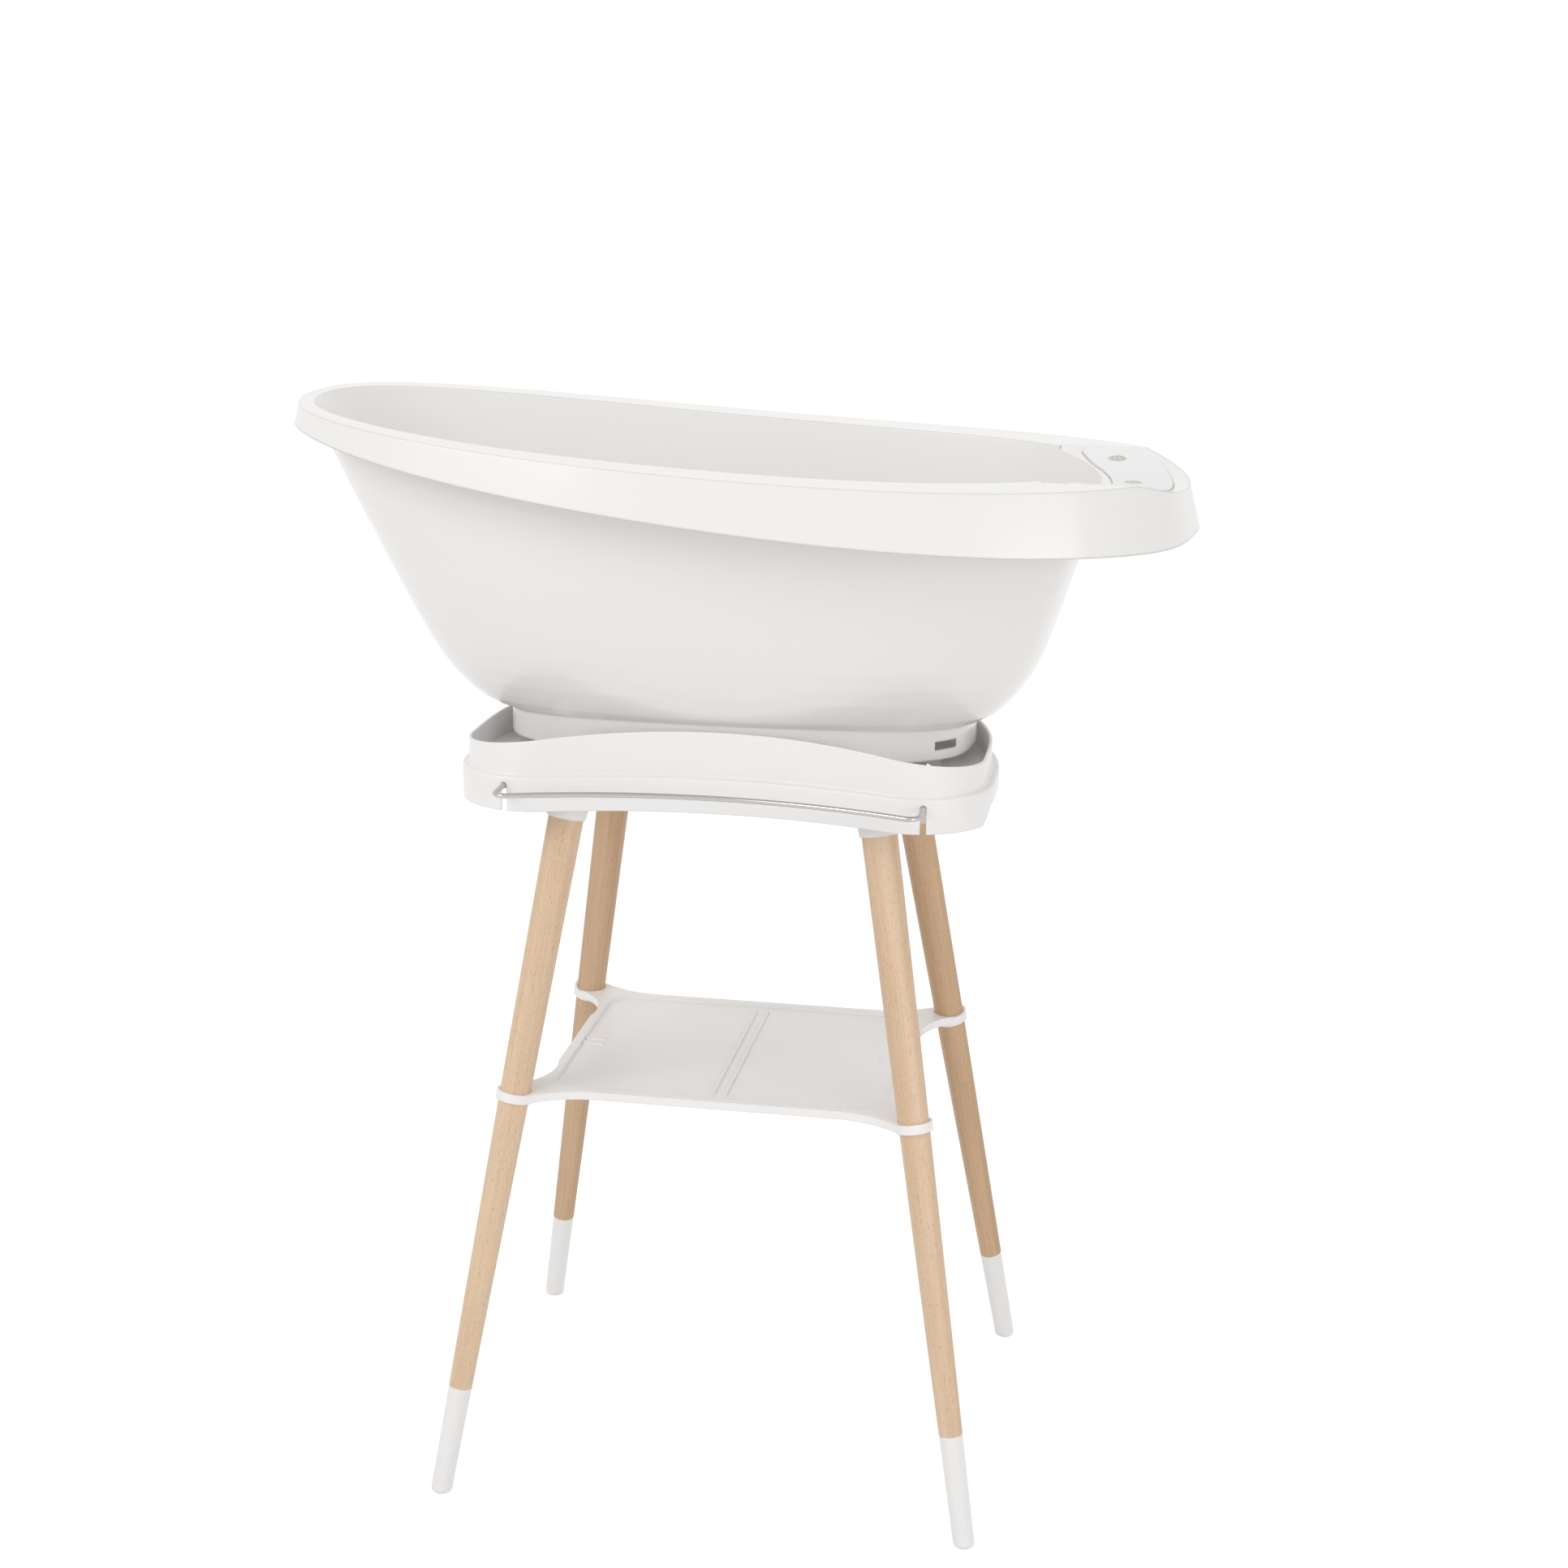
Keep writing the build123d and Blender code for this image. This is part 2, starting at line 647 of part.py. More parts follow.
with BuildPart() as tub:
    add(body(0, 0))
    add(under_tub_rim(0), mode=Mode.INTERSECT)
    add(dish(0, valley_start_x), mode=Mode.SUBTRACT)
    add(rim.part)
    add(rim_inside.part - body(0, 0), mode=Mode.SUBTRACT)
    # the skirt that the tub stands on, cut away between its two feet
    with BuildSketch(Plane.XY.offset(tub_base)):
        with BuildLine():
            Spline(*oval(skirt_half_x, skirt_half_y, skirt_power_share), periodic=True)
        make_face()
    extrude(amount=skirt_top)
    with BuildSketch(Plane.XY.offset(tub_base)):
        with BuildLine():
            Spline(*oval(skirt_half_x - skirt_wall, skirt_half_y - skirt_wall, skirt_power_share),
                   periodic=True)
        make_face()
    extrude(amount=tub_floor, mode=Mode.SUBTRACT)
    with BuildSketch(Plane.XZ.offset(-skirt_half_y - cut_over)):
        with BuildLine():
            Polyline(
                (-skirt_arch_half - skirt_arch_rise, tub_base),
                (-skirt_arch_half, tub_base + skirt_arch_rise),
                (skirt_arch_half, tub_base + skirt_arch_rise),
                (skirt_arch_half + skirt_arch_rise, tub_base),
                close=True)
        make_face()
        with Locations((slot_x, tub_base + slot_bottom + slot_height / 2)):
            Rectangle(slot_width, slot_height)
    extrude(amount=2 * (skirt_half_y + cut_over), mode=Mode.SUBTRACT)
    # where the panel lies, and where its housing hangs through
    add(panel_band(pad_margin, pad_thickness, 0))
    add(body(tub_wall, tub_wall), mode=Mode.SUBTRACT)
    add(panel_band(recess_gap, recess_depth, -dish_depth), mode=Mode.SUBTRACT)
    add(prism(panel_outline(opening_gap - housing_inset), panel_low, panel_high), mode=Mode.SUBTRACT)
    with Locations((plug_x, 0, tub_base + tub_floor)):
        Cylinder(drain_radius + drain_wall + fit_gap, 2 * tub_wall + cut_over, mode=Mode.SUBTRACT)
save(tub.part, "tub")

# Drain seat: a lined tube through the tub's floor
floor_top = tub_base + tub_floor + tub_wall
with BuildPart() as seat:
    with BuildSketch(Plane.XY.offset(floor_top)):
        with Locations((plug_x, 0)):
            Circle(drain_radius + drain_wall)
    extrude(amount=-drain_length)
    with BuildSketch(Plane.XY.offset(tub_base + tub_floor)):
        with Locations((plug_x, 0)):
            Circle(drain_radius + drain_wall + drain_flange)
    extrude(amount=-drain_flange_thickness)
    with BuildSketch(Plane.XY.offset(floor_top)):
        with Locations((plug_x, 0)):
            Circle(drain_radius)
    extrude(amount=-drain_length, mode=Mode.SUBTRACT)
save(seat.part, "drain_seat")

# Control panel. Depths are counted from the tub's dish, downwards.
cover_low = recess_depth - cover_gap
cover_high = cover_low - cover_thickness
skin_low = cover_high + cover_skin
board_top = tub_base + dish_bottom - board_drop
board_low = board_top - board_thickness


def on_panel(x, y, rise):
    # Square to the cover, this far above it
    reach = dish_radius + cover_high
    lift = math.sqrt(reach ** 2 - y ** 2)
    normal = (0, -y / reach, lift / reach)
    return Plane(origin=(x, y + normal[1] * rise, dish_axis - lift + normal[2] * rise), x_dir=(1, 0, 0),
                 z_dir=normal)


buttons = [
    ("power_button", wing_button_x, wing_button_y),
    ("start_button", middle_button_x, 0),
    ("reset_button", wing_button_x, -wing_button_y),
]
light_places = [(light_x + i * light_spacing, light_y) for i in (-1, 0, 1)]

with BuildPart() as cover:
    add(panel_band(0, cover_low, cover_high))
    fillet(cover.faces().sort_by(Axis.Z)[-1].edges(), radius=cover_round)
    add(panel_band(-cover_side, cover_low, skin_low), mode=Mode.SUBTRACT)
    bosses = prism(panel_outline(-housing_inset), board_top, panel_high) - dish(skin_low, valley_start_x)
    with BuildSketch(Plane.XY.offset(board_top)) as boss_places:
        with Locations(*screw_places):
            Circle(boss_radius)
    add(bosses & prism(boss_places.sketch, board_top, panel_high))
    with BuildSketch(Plane.XY.offset(board_top)):
        with Locations(*screw_places):
            Circle(screw_radius + fit_gap)
    extrude(amount=screw_length / 2, mode=Mode.SUBTRACT)
    with BuildSketch(Plane.XY.offset(board_top)):
        with Locations(*light_places):
            Circle(light_radius + fit_gap)
    extrude(amount=panel_high - board_top, mode=Mode.SUBTRACT)
    for name, x, y in buttons:
        with BuildSketch(on_panel(x, y, cover_round)):
            Circle(button_radius + running_gap)
        extrude(amount=-cover_thickness, mode=Mode.SUBTRACT)
save(cover.part, "panel_cover")

for name, x, y in buttons:
    with BuildPart() as button:
        with BuildSketch(on_panel(x, y, button_rise)):
            Circle(button_radius)
        extrude(amount=-(button_rise + cover_skin + button_flange_thickness))
        fillet(button.edges().sort_by(Axis.Z)[-1], radius=button_round)
        with BuildSketch(on_panel(x, y, -cover_skin - fit_gap)):
            Circle(button_radius + button_flange)
        extrude(amount=-button_flange_thickness)
        with BuildSketch(on_panel(x, y, -cover_skin)):
            Circle(button_stem_radius)
        stem_foot = on_panel(x, y, 0).origin.Z - board_top - 2 * button_travel
        extrude(amount=-(stem_foot - cover_skin))
    save(button.part, name)

with BuildPart() as lights:
    with BuildSketch(Plane.XY.offset(board_top)):
        with Locations(*light_places):
            Circle(light_radius)
    extrude(amount=panel_high - board_top)
    add(dish(cover_high - light_rise, valley_start_x), mode=Mode.SUBTRACT)
save(Compound(children=lights.part.solids()), "indicator_lights")

with BuildPart() as housing:
    add(prism(panel_outline(-housing_inset), panel_low, panel_high))
    add(dish(skin_low + seal_thickness, valley_start_x), mode=Mode.SUBTRACT)
    add(prism(panel_outline(-housing_inset - housing_wall), panel_low + housing_floor, panel_high),
        mode=Mode.SUBTRACT)
    # posts that carry the board
    with BuildSketch(Plane.XY.offset(panel_low)):
        with Locations(*screw_places):
            Circle(boss_radius)
    extrude(amount=board_low - panel_low)
    with BuildSketch(Plane.XY.offset(panel_low)):
        with Locations(*screw_places):
            Circle(screw_radius + fit_gap)
    extrude(amount=board_low - panel_low, mode=Mode.SUBTRACT)
    with BuildSketch(Plane.XY.offset(panel_low)):
        with Locations(*screw_places):
            Circle(screw_head_radius + fit_gap)
    extrude(amount=screw_head_height, mode=Mode.SUBTRACT)
    # battery opening, with a ledge for its door
    with Locations((cell_x, 0, panel_low)):
        Box(door_width + 2 * fit_gap, door_length + 2 * fit_gap, 2 * door_thickness, mode=Mode.SUBTRACT)
        Box(door_width - 2 * door_ledge, door_length - 2 * door_ledge, 2 * housing_floor + cut_over,
            mode=Mode.SUBTRACT)
save(housing.part, "panel_housing")

with BuildPart() as seal:
    add(panel_band(-housing_inset, skin_low + seal_thickness, skin_low))
    add(prism(panel_outline(-housing_inset - housing_wall), panel_low, panel_high), mode=Mode.SUBTRACT)
save(seal.part, "panel_seal")

with BuildPart() as board:
    add(prism(panel_outline(-housing_inset - housing_wall - board_gap), board_low, board_top))
    with BuildSketch(Plane.XY.offset(board_low)):
        with Locations(*screw_places):
            Circle(screw_radius + fit_gap)
    extrude(amount=board_thickness, mode=Mode.SUBTRACT)
save(board.part, "panel_board")

with BuildPart() as door:
    with Locations((cell_x, 0, panel_low + door_thickness / 2)):
        Box(door_width, door_length, door_thickness)
save(door.part, "battery_door")

cells = []
for side in (-1, 1):
    with BuildPart() as cell:
        with BuildSketch(Plane.XZ.offset(-side * (cell_length + running_gap))):
            with Locations((cell_x, panel_low + door_thickness + fit_gap + cell_radius)):
                Circle(cell_radius)
        extrude(amount=side * cell_length)
    cells.append(cell.part)
save(Compound(children=cells), "battery_cells")

screws = []
for x, y in screw_places:
    with BuildPart() as screw:
        with BuildSketch(Plane.XY.offset(panel_low)):
            with Locations((x, y)):
                Circle(screw_head_radius)
        extrude(amount=screw_head_height)
        with BuildSketch(Plane.XY.offset(panel_low)):
            with Locations((x, y)):
                Circle(screw_radius)
        extrude(amount=screw_head_height + screw_length)
    screws.append(screw.part)
save(Compound(children=screws), "panel_screws")

# Sensor plug, standing on the tub's floor with its spigot in the drain seat
face_low = floor_top + plug_height - plug_face_depth
cavity_low = face_low - plug_cavity_depth
seal_height = floor_top - plug_spigot_depth / 2

with BuildPart() as plug:
    with BuildSketch(Plane.XY.offset(floor_top)):
        with Locations((plug_x, 0)):
            Circle(plug_radius)
    extrude(amount=plug_height)
    fillet(plug.edges().sort_by(Axis.Z)[-1], radius=plug_round)
    with BuildSketch(Plane.XY.offset(floor_top)) as tab:
        with Locations((plug_x, 0)):
            Circle(plug_tab_reach - plug_tab_radius)
        with Locations((plug_x - plug_tab_reach, 0)):
            Circle(plug_tab_radius)
        make_hull()
    extrude(amount=plug_tab_height)
    with BuildSketch(Plane.XY.offset(floor_top + plug_tab_height)):
        for i in range(tab_rib_count):
            with Locations((plug_x - plug_tab_reach - tab_rib_spacing * (i - tab_rib_count / 4), 0)):
                SlotOverall(plug_tab_radius, tab_rib_width, rotation=90)
    extrude(amount=tab_rib_rise)
    with BuildSketch(Plane.XY.offset(floor_top)):
        with Locations((plug_x, 0)):
            Circle(plug_spigot_radius)
    extrude(amount=-plug_spigot_depth)
    with Locations((plug_x, 0, seal_height)):
        Torus(plug_spigot_radius, seal_radius, mode=Mode.SUBTRACT)
    with BuildSketch(Plane.XY.offset(face_low)):
        with Locations((plug_x, 0)):
            Circle(plug_face_radius)
    extrude(amount=plug_face_depth, mode=Mode.SUBTRACT)
    with BuildSketch(Plane.XY.offset(cavity_low)):
        with Locations((plug_x, 0)):
            Circle(plug_cavity_radius)
    extrude(amount=plug_cavity_depth, mode=Mode.SUBTRACT)
save(plug.part, "plug_body")

contact_places = [(plug_x, i * contact_spacing) for i in (-1, 0, 1)]
with BuildPart() as face:
    with BuildSketch(Plane.XY.offset(face_low)):
        with Locations((plug_x, 0)):
            Circle(plug_face_radius)
    extrude(amount=plug_face_depth)
    with BuildSketch(Plane.XY.offset(face_low + plug_face_depth)):
        with Locations((plug_x, 0)):
            SlotOverall(2 * contact_slot_half, 2 * contact_slot_radius, rotation=90)
    extrude(amount=-contact_slot_depth, mode=Mode.SUBTRACT)
    with BuildSketch(Plane.XY.offset(face_low)):
        with Locations(*contact_places):
            Circle(contact_radius)
    extrude(amount=plug_face_depth, mode=Mode.SUBTRACT)
save(face.part, "plug_face")

with BuildPart() as contacts:
    with BuildSketch(Plane.XY.offset(face_low)):
        with Locations(*contact_places):
            Circle(contact_radius)
    extrude(amount=plug_face_depth - contact_slot_depth + contact_rise)
save(Compound(children=contacts.part.solids()), "plug_contacts")

with BuildPart() as ring:
    with Locations((plug_x, 0, seal_height)):
        Torus(plug_spigot_radius, seal_radius)
save(ring.part, "plug_seal")

with BuildPart() as plug_board:
    with BuildSketch(Plane.XY.offset(cavity_low)):
        with Locations((plug_x, 0)):
            Circle(plug_board_radius)
    extrude(amount=board_thickness)
save(plug_board.part, "plug_board")

with BuildPart() as plug_cell:
    with BuildSketch(Plane.XY.offset(cavity_low + board_thickness)):
        with Locations((plug_x, 0)):
            Circle(plug_cell_radius)
    extrude(amount=plug_cell_thickness)
save(plug_cell.part, "plug_cell")
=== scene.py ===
# %% [markdown]
# # A baby bathtub on its stand
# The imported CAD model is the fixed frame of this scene. Every solid is already in place and of the right
# size, in metres, with the floor at zero and the bath's foot end towards +X. This lesson gives each solid
# the surface of the real thing, adds the printed symbols that a solid model leaves out, and lights it like a
# catalogue picture.

# %% Load the frame
import math

import bpy
from mathutils import Matrix, Vector


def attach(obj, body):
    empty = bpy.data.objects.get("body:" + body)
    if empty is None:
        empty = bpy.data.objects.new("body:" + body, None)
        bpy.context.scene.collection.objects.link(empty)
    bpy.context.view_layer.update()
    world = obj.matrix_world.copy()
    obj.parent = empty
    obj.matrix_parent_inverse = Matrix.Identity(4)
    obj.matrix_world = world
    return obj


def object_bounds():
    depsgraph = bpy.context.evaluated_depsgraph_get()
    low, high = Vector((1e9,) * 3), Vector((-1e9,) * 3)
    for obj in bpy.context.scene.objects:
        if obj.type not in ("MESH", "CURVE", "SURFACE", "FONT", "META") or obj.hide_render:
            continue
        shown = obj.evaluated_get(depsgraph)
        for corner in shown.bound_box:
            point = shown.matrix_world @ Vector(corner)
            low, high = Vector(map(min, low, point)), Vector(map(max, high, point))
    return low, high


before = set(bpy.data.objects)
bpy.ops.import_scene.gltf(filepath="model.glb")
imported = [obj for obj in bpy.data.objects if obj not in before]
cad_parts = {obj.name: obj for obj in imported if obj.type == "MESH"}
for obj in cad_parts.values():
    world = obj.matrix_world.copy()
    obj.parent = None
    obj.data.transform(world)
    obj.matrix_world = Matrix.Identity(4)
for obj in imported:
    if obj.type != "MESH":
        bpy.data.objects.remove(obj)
cad_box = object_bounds()
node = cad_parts
print("solids in the frame:", len(node))
print("box of the solids:", cad_box)

# %% [markdown]
# ## The camera
# The picture was taken a little from the right and from above, with a longish lens, so the legs keep almost
# the same width from top to bottom. A camera in Blender looks along its own -Z. Three angles and a place are
# enough to set it: the two that aim it, and a small roll.

# %% Camera
view_turn = math.radians(9.962)
view_rise = math.radians(15.7295)
view_roll = math.radians(0.4808)
view_place = Vector((0.4342, -2.2429, 1.3062))
film_width = 36
lens_length = 57.23

back = Vector((
    math.sin(view_turn) * math.cos(view_rise),
    -math.cos(view_turn) * math.cos(view_rise),
    math.sin(view_rise),
))
across = (-back).cross(Vector((0, 0, 1))).normalized()
upward = across.cross(-back)
right = math.cos(view_roll) * across + math.sin(view_roll) * upward
top = -math.sin(view_roll) * across + math.cos(view_roll) * upward

camera_data = bpy.data.cameras.new("catalogue_camera")
camera_data.sensor_width = film_width
camera_data.lens = lens_length
camera = bpy.data.objects.new("catalogue_camera", camera_data)
camera.matrix_world = Matrix.Translation(view_place) @ Matrix((right, top, back)).transposed().to_4x4()
bpy.context.scene.collection.objects.link(camera)
bpy.context.scene.camera = camera
print("camera at", tuple(round(v, 3) for v in view_place))

# %% [markdown]
# ## The studio
# The real picture has no background at all, only white. Here a large pale floor carries the object and
# bounces light up under it. Only the camera and reflections see its extra glow, which makes the far floor as
# white as the world behind it, while the light that it throws on the object stays that of a plain pale
# floor. The world works in the same way: a soft light for the object, and plain white where it is seen.

# %% Small helpers for node trees
scene = bpy.context.scene
scene.view_settings.view_transform = "Standard"


def calculation(tree, operation, constants=()):
    step = tree.nodes.new("ShaderNodeMath")
    step.operation = operation
    for socket, value in constants:
        step.inputs[socket].default_value = value
    return step


def seen_directly(tree):
    # One where the camera or a glossy reflection looks at this surface, and zero for all other light
    path = tree.nodes.new("ShaderNodeLightPath")
    direct = calculation(tree, "MAXIMUM")
    tree.links.new(path.outputs["Is Camera Ray"], direct.inputs[0])
    tree.links.new(path.outputs["Is Glossy Ray"], direct.inputs[1])
    return path, direct


# %% Floor
floor_half = 9.0
floor_grey = 0.82
floor_glow = 0.42

corners = [(x * floor_half, y * floor_half, 0) for x, y in ((-1, -1), (1, -1), (1, 1), (-1, 1))]
floor_mesh = bpy.data.meshes.new("studio_floor")
floor_mesh.from_pydata(corners, [], [(0, 1, 2, 3)])
floor = bpy.data.objects.new("studio_floor", floor_mesh)
scene.collection.objects.link(floor)

floor_finish = bpy.data.materials.new("studio_floor")
floor_finish.use_nodes = True
tree = floor_finish.node_tree
tree.nodes.clear()
output = tree.nodes.new("ShaderNodeOutputMaterial")
total = tree.nodes.new("ShaderNodeAddShader")
paper = tree.nodes.new("ShaderNodeBsdfDiffuse")
paper.inputs["Color"].default_value = (floor_grey, floor_grey, floor_grey, 1)
glow = tree.nodes.new("ShaderNodeEmission")
_, direct = seen_directly(tree)
strength = calculation(tree, "MULTIPLY", [(1, floor_glow)])
tree.links.new(direct.outputs[0], strength.inputs[0])
tree.links.new(strength.outputs[0], glow.inputs["Strength"])
tree.links.new(paper.outputs[0], total.inputs[0])
tree.links.new(glow.outputs[0], total.inputs[1])
tree.links.new(total.outputs[0], output.inputs["Surface"])
floor_mesh.materials.append(floor_finish)
print("floor is", 2 * floor_half, "m wide")

# %% World
soft_light = 0.72
seen_white = 1.0

world = bpy.data.worlds.new("studio")
scene.world = world
world.use_nodes = True
tree = world.node_tree
tree.nodes.clear()
output = tree.nodes.new("ShaderNodeOutputWorld")
pick = tree.nodes.new("ShaderNodeMixShader")
path, direct = seen_directly(tree)
either = calculation(tree, "MAXIMUM")
tree.links.new(direct.outputs[0], either.inputs[0])
tree.links.new(path.outputs["Is Transmission Ray"], either.inputs[1])
tree.links.new(either.outputs[0], pick.inputs["Fac"])
for socket, level in ((1, soft_light), (2, seen_white)):
    sky = tree.nodes.new("ShaderNodeBackground")
    sky.inputs["Color"].default_value = (1, 1, 1, 1)
    sky.inputs["Strength"].default_value = level
    tree.links.new(sky.outputs[0], pick.inputs[socket])
tree.links.new(pick.outputs[0], output.inputs["Surface"])
print("world lights at", soft_light, "and shows as", seen_white)

# %% [markdown]
# ## Lamps
# Three wide soft boxes shape the object: one high on the left, one lower on the right, and a weak one above
# and behind. They are large and far, so the edges of the shadows stay soft and the white plastic keeps its
# shape without burning out.


# %% Lamps
box_height_share = 0.7


def soft_box(name, place, aim_height, width, watts):
    lamp = bpy.data.lights.new(name, "AREA")
    lamp.shape = "RECTANGLE"
    lamp.size = width
    lamp.size_y = width * box_height_share
    lamp.energy = watts
    holder = bpy.data.objects.new(name, lamp)
    holder.location = place
    looking = Vector((0, 0, aim_height)) - Vector(place)
    holder.rotation_euler = looking.to_track_quat("-Z", "Y").to_euler()
    scene.collection.objects.link(holder)
    print(name, "at", place, watts, "W")


soft_box("key_box", (-2.2, -2.6, 3.0), aim_height=0.7, width=2.4, watts=40)
soft_box("fill_box", (2.6, -2.6, 1.3), aim_height=0.6, width=2.0, watts=22)
soft_box("top_box", (0.2, 1.0, 3.4), aim_height=0.8, width=2.2, watts=8)

# %% [markdown]
# ## A moulded skin, shared by plastic and metal
# Moulded plastic is never quite even: it has a faint drift of colour where the wall is thicker, and a very
# fine ripple that breaks up the edge of a reflection. Plated metal shows the same, only finer. One node
# group makes both from noise, so that every finish can have the same kind of surface with its own values. A
# group only puts out colours and values. The shader itself stays in the material.


# %% Node group for the moulded skin
def new_group(name, inputs, outputs):
    group = bpy.data.node_groups.new(name, "ShaderNodeTree")
    for label, kind, value in inputs:
        socket = group.interface.new_socket(label, in_out="INPUT", socket_type=kind)
        socket.default_value = value
    for label, kind in outputs:
        group.interface.new_socket(label, in_out="OUTPUT", socket_type=kind)
    return group, group.nodes.new("NodeGroupInput"), group.nodes.new("NodeGroupOutput")


drift_scale = 3.5
roughness_swing = 0.08
surface_outputs = [
    ("Colour", "NodeSocketColor"), ("Roughness", "NodeSocketFloat"), ("Height", "NodeSocketFloat")]

moulded, entry, leave = new_group(
    "moulded_skin",
    [("Colour", "NodeSocketColor", (0.8, 0.8, 0.8, 1)), ("Drift", "NodeSocketFloat", 0.02),
     ("Roughness", "NodeSocketFloat", 0.2), ("Grain size", "NodeSocketFloat", 900.0)],
    surface_outputs)
links = moulded.links
where = moulded.nodes.new("ShaderNodeTexCoord")
wide = moulded.nodes.new("ShaderNodeTexNoise")
wide.inputs["Scale"].default_value = drift_scale
wide.inputs["Detail"].default_value = 2.0
fine = moulded.nodes.new("ShaderNodeTexNoise")
fine.inputs["Detail"].default_value = 3.0
links.new(where.outputs["Object"], wide.inputs["Vector"])
links.new(where.outputs["Object"], fine.inputs["Vector"])
links.new(entry.outputs["Grain size"], fine.inputs["Scale"])
links.new(fine.outputs["Fac"], leave.inputs["Height"])

centred = calculation(moulded, "SUBTRACT", [(1, 0.5)])
links.new(wide.outputs["Fac"], centred.inputs[0])
drift = calculation(moulded, "MULTIPLY_ADD", [(2, 1.0)])
links.new(centred.outputs[0], drift.inputs[0])
links.new(entry.outputs["Drift"], drift.inputs[1])
tinted = moulded.nodes.new("ShaderNodeVectorMath")
tinted.operation = "SCALE"
links.new(entry.outputs["Colour"], tinted.inputs[0])
links.new(drift.outputs[0], tinted.inputs["Scale"])
links.new(tinted.outputs[0], leave.inputs["Colour"])
worn = calculation(moulded, "MULTIPLY_ADD", [(1, roughness_swing)])
links.new(centred.outputs[0], worn.inputs[0])
links.new(entry.outputs["Roughness"], worn.inputs[2])
links.new(worn.outputs[0], leave.inputs["Roughness"])
print("group", moulded.name, "has", len(moulded.nodes), "nodes")

# %% [markdown]
# ## Plastic finishes
# The bath is glossy and slightly warm, the tray a purer white, the shelf and the panel satin. Each finish is
# a Principled shader whose constant values sit on its own sockets, and the group gives what changes over
# the surface. No mould has a truly sharp corner, so a Bevel node turns the normals near each edge as if the
# edge were rounded by a millimetre or a few. That catches the thin line of light along the mouth of the
# bath, and leaves the mesh as it is. The swing of the group moves the roughness a little, and each finish
# stays on one side of 0.27, because where it crossed that value, faint arcs showed in the denoised picture.


# %% A finish from a group
def finish_from(name, group, values, ripple, ripple_depth):
    finish = bpy.data.materials.new(name)
    finish.use_nodes = True
    tree = finish.node_tree
    shader = tree.nodes["Principled BSDF"]
    skin = tree.nodes.new("ShaderNodeGroup")
    skin.node_tree = group
    for label, value in values.items():
        skin.inputs[label].default_value = value
    bump = tree.nodes.new("ShaderNodeBump")
    bump.inputs["Strength"].default_value = ripple
    bump.inputs["Distance"].default_value = ripple_depth
    tree.links.new(skin.outputs["Height"], bump.inputs["Height"])
    tree.links.new(bump.outputs["Normal"], shader.inputs["Normal"])
    tree.links.new(skin.outputs["Colour"], shader.inputs["Base Color"])
    tree.links.new(skin.outputs["Roughness"], shader.inputs["Roughness"])
    print("finish", name)
    return finish, shader, skin, bump


# %% Plastic materials
def plastic(name, colour, roughness, ripple, grain_size, drift, coat=0.0, edge=0.0):
    values = {"Colour": (*colour, 1), "Drift": drift, "Roughness": roughness, "Grain size": grain_size}
    finish, shader, _, bump = finish_from(name, moulded, values, ripple, ripple_depth=0.0002)
    if edge:
        corner = finish.node_tree.nodes.new("ShaderNodeBevel")
        corner.samples = 6
        corner.inputs["Radius"].default_value = edge
        finish.node_tree.links.new(corner.outputs["Normal"], bump.inputs["Normal"])
    shader.inputs["IOR"].default_value = 1.49
    shader.inputs["Coat Weight"].default_value = coat
    shader.inputs["Coat Roughness"].default_value = 0.1
    return finish


bath_white = plastic("bath_white", (0.85, 0.835, 0.815), 0.22, 0.05, 420.0, 0.02, coat=0.3, edge=0.0035)
tray_white = plastic("tray_white", (0.87, 0.86, 0.85), 0.34, 0.06, 500.0, 0.015, coat=0.15, edge=0.0015)
satin_white = plastic("satin_white", (0.89, 0.875, 0.865), 0.42, 0.12, 1400.0, 0.012, edge=0.001)
cap_white = plastic("cap_white", (0.86, 0.845, 0.83), 0.34, 0.06, 700.0, 0.015, coat=0.1, edge=0.001)
panel_white = plastic("panel_white", (0.85, 0.85, 0.845), 0.5, 0.18, 2200.0, 0.01, edge=0.0008)
housing_grey = plastic("housing_grey", (0.66, 0.655, 0.645), 0.5, 0.2, 1800.0, 0.015, edge=0.0008)
plug_grey = plastic("plug_grey", (0.80, 0.80, 0.785), 0.55, 0.15, 2000.0, 0.015, edge=0.001)
plug_white = plastic("plug_white", (0.84, 0.84, 0.825), 0.45, 0.12, 2000.0, 0.01, edge=0.0005)
ink_taupe = plastic("ink_taupe", (0.53, 0.51, 0.44), 0.6, 0.08, 2500.0, 0.03)
light_pipe = plastic("light_pipe", (0.85, 0.85, 0.84), 0.2, 0.03, 1500.0, 0.01, coat=0.2)
board_green = plastic("board_green", (0.05, 0.20, 0.10), 0.35, 0.10, 1500.0, 0.08)
seal_rubber = plastic("seal_rubber", (0.55, 0.55, 0.54), 0.7, 0.25, 1600.0, 0.03)

# %% [markdown]
# ## Beech
# The legs are turned beech. Beech shows three things: long pale growth bands that run with the leg, a fine
# silky grain, and short brown flecks, a few millimetres long, which are its rays. All three are noise
# stretched along the leg's own axis, so each leg gets its own turn of the texture space.


# %% Node group for beech grain
beech, entry, leave = new_group(
    "beech_grain",
    [("Vector", "NodeSocketVector", (0, 0, 0)), ("Pale", "NodeSocketColor", (0.8, 0.6, 0.4, 1)),
     ("Dark", "NodeSocketColor", (0.6, 0.4, 0.25, 1)), ("Fleck", "NodeSocketColor", (0.35, 0.2, 0.1, 1))],
    surface_outputs)
links = beech.links


